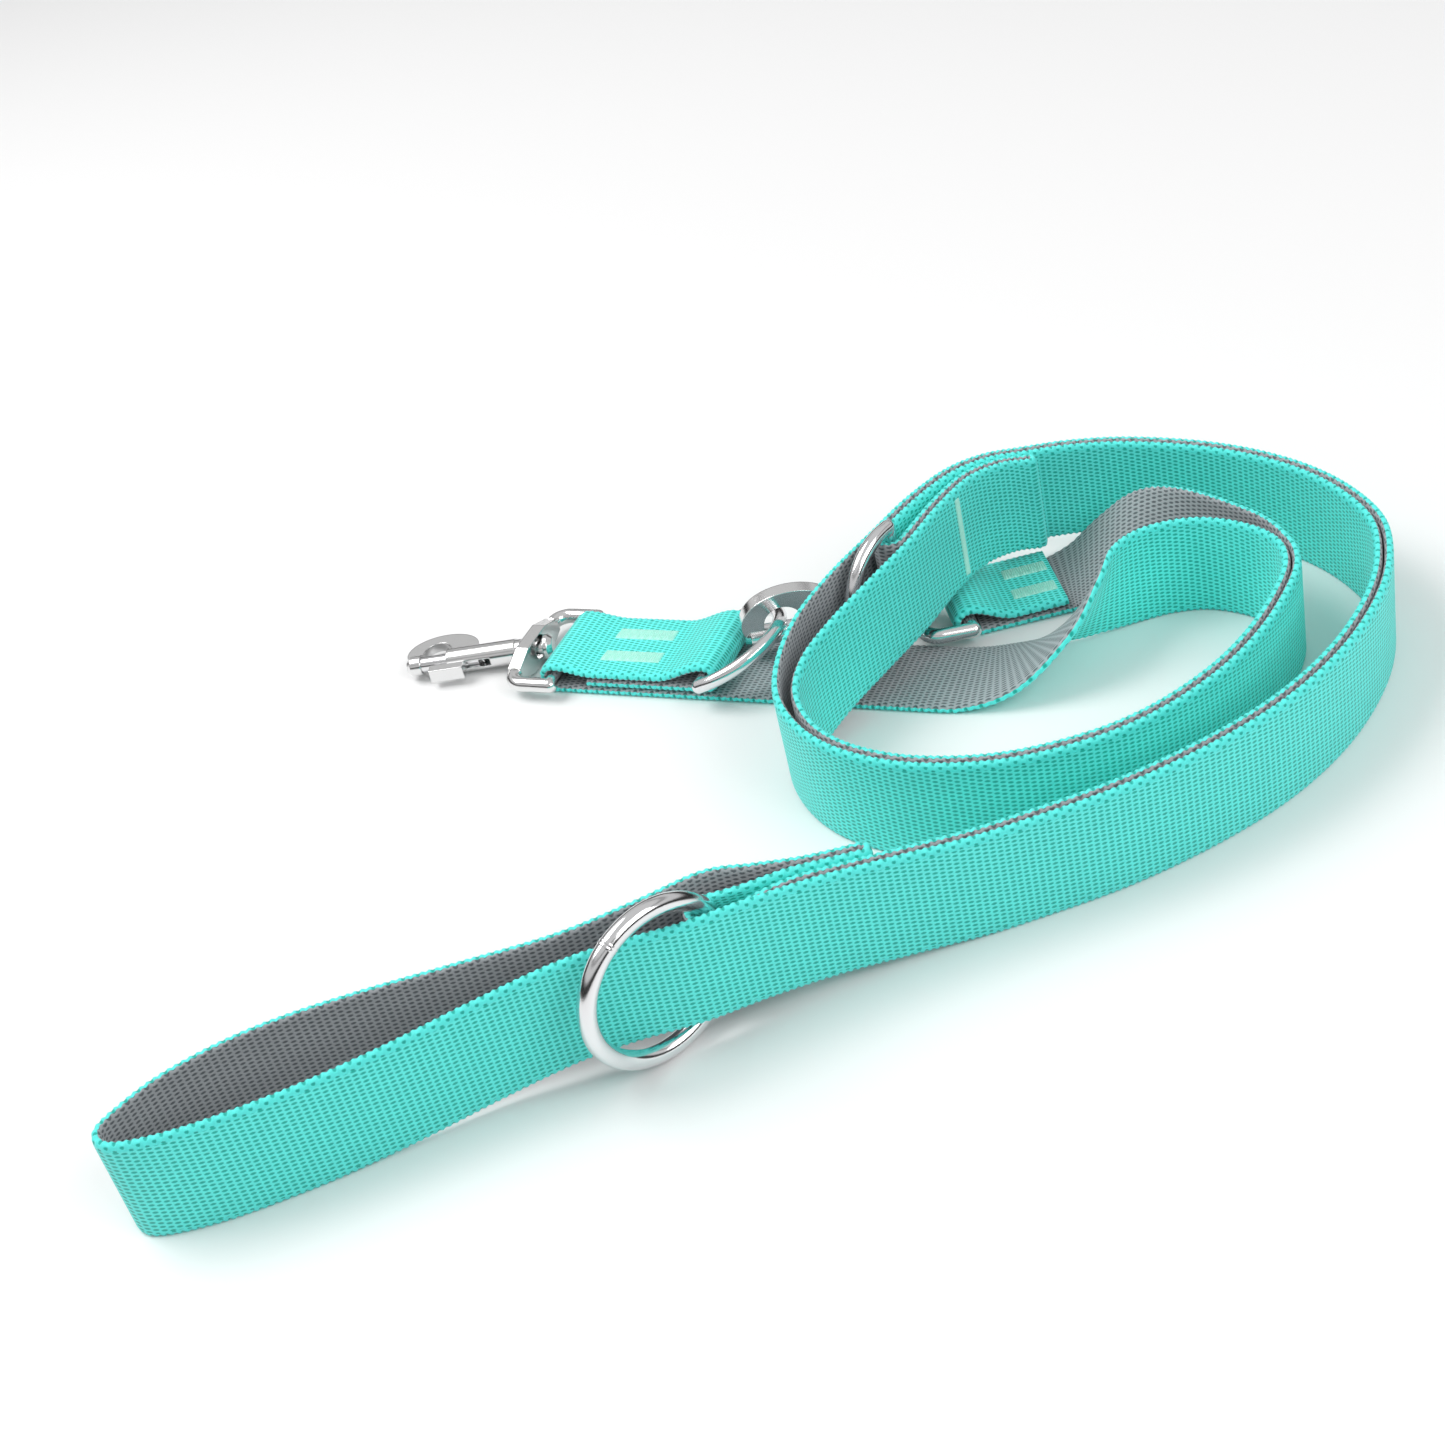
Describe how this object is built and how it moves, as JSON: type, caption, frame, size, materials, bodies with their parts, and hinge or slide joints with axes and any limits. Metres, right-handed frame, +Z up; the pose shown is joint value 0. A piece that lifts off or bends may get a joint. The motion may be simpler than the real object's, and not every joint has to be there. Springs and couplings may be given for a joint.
{
  "type": "double-ended training leash",
  "caption": "Webbing training leash in a loose flat coil, with a hand loop, an O-ring, D-rings and a swivel bolt snap at both ends.",
  "frame": {"origin": "middle of the leash's footprint, on the floor that it lies on", "axes": "+X is along the longest side, from the hand loop towards the coil's far turn; +Y is from the front run of the webbing to the back, where the two ends lie; +Z is up, along the width of the webbing that stands on its edge"},
  "size_m": [0.2855, 0.1853, 0.0382],
  "materials": {
    "webbing_turquoise": "woven polypropylene webbing, turquoise, matt",
    "webbing_grey": "woven polypropylene webbing, turquoise outside and grey inside, matt",
    "thread": "satin polyester thread",
    "ring_chrome": "bright plated steel wire",
    "snap_chrome": "bright plated die-cast zinc",
    "bolt_steel": "bright plated steel"
  },
  "bodies": {
    "strap": {"hand_loop_webbing": "webbing_turquoise", "outer_ply_webbing": "webbing_turquoise", "inner_ply_webbing": "webbing_grey", "end_a_webbing": "webbing_turquoise", "end_b_webbing": "webbing_turquoise", "end_a_bar_tacks": "thread", "end_b_bar_tacks": "thread", "o_ring_fold_stitching": "thread", "mid_fold_stitching": "thread"},
    "o_ring": {"o_ring": "ring_chrome"},
    "mid_d_ring": {"mid_d_ring": "ring_chrome"},
    "end_d_ring": {"end_d_ring": "ring_chrome"},
    "snap_a_eye": {"snap_a_eye": "snap_chrome"},
    "snap_a_hook": {"snap_a_post": "snap_chrome", "snap_a_body": "snap_chrome", "snap_a_spring": "bolt_steel"},
    "snap_a_slider": {"snap_a_bolt": "bolt_steel", "snap_a_thumb_piece": "snap_chrome"},
    "snap_b_eye": {"snap_b_eye": "snap_chrome"},
    "snap_b_hook": {"snap_b_post": "snap_chrome", "snap_b_body": "snap_chrome", "snap_b_spring": "bolt_steel"},
    "snap_b_slider": {"snap_b_bolt": "bolt_steel", "snap_b_thumb_knob": "snap_chrome"}
  },
  "joints": [
    {"name": "o_ring_swing", "type": "hinge", "parent": "strap", "child": "o_ring", "pos_m": [-0.02121, -0.06806, 0.0185], "axis": [0, 0, 1], "range_deg": [-4, 4]},
    {"name": "mid_d_ring_swing", "type": "hinge", "parent": "strap", "child": "mid_d_ring", "pos_m": [0.03646, 0.03671, 0.0214], "axis": [0, 0, 1], "range_deg": [-4, 4]},
    {"name": "end_d_ring_swing", "type": "hinge", "parent": "strap", "child": "end_d_ring", "pos_m": [-0.0072, 0.0504, 0.0063], "axis": [-0.4909, -0.8712, 0], "range_deg": [-0.5, 1.5]},
    {"name": "snap_a_eye_pivot", "type": "hinge", "parent": "strap", "child": "snap_a_eye", "pos_m": [-0.04292, 0.07053, 0.00415], "axis": [0.4909, 0.8712, 0], "range_deg": [-100, 100]},
    {"name": "snap_a_swivel", "type": "hinge", "parent": "snap_a_eye", "child": "snap_a_hook", "pos_m": [-0.05294, 0.07617, 0.00415], "axis": [-0.9765, 0.2147, -0.0175], "continuous": true},
    {"name": "snap_a_bolt_slide", "type": "slide", "parent": "snap_a_hook", "child": "snap_a_slider", "axis": [0.9765, -0.2147, 0.0175], "range_m": [0, 0.0058], "stiffness_N_per_m": 300, "springref_m": -0.005, "deforming": ["snap_a_spring"]},
    {"name": "snap_b_eye_pivot", "type": "hinge", "parent": "strap", "child": "snap_b_eye", "pos_m": [0.0522, 0.0504, 0.00415], "axis": [0, 1, 0], "range_deg": [0, 0.3]},
    {"name": "snap_b_swivel", "type": "hinge", "parent": "snap_b_eye", "child": "snap_b_hook", "pos_m": [0.0522, 0.0504, 0.00415], "axis": [-0.9973, 0, 0.0732], "range_deg": [-4, 4]},
    {"name": "snap_b_bolt_slide", "type": "slide", "parent": "snap_b_hook", "child": "snap_b_slider", "axis": [0.9973, 0, -0.0732], "range_m": [0, 0.0074], "stiffness_N_per_m": 300, "springref_m": -0.004, "deforming": ["snap_b_spring"]}
  ]
}
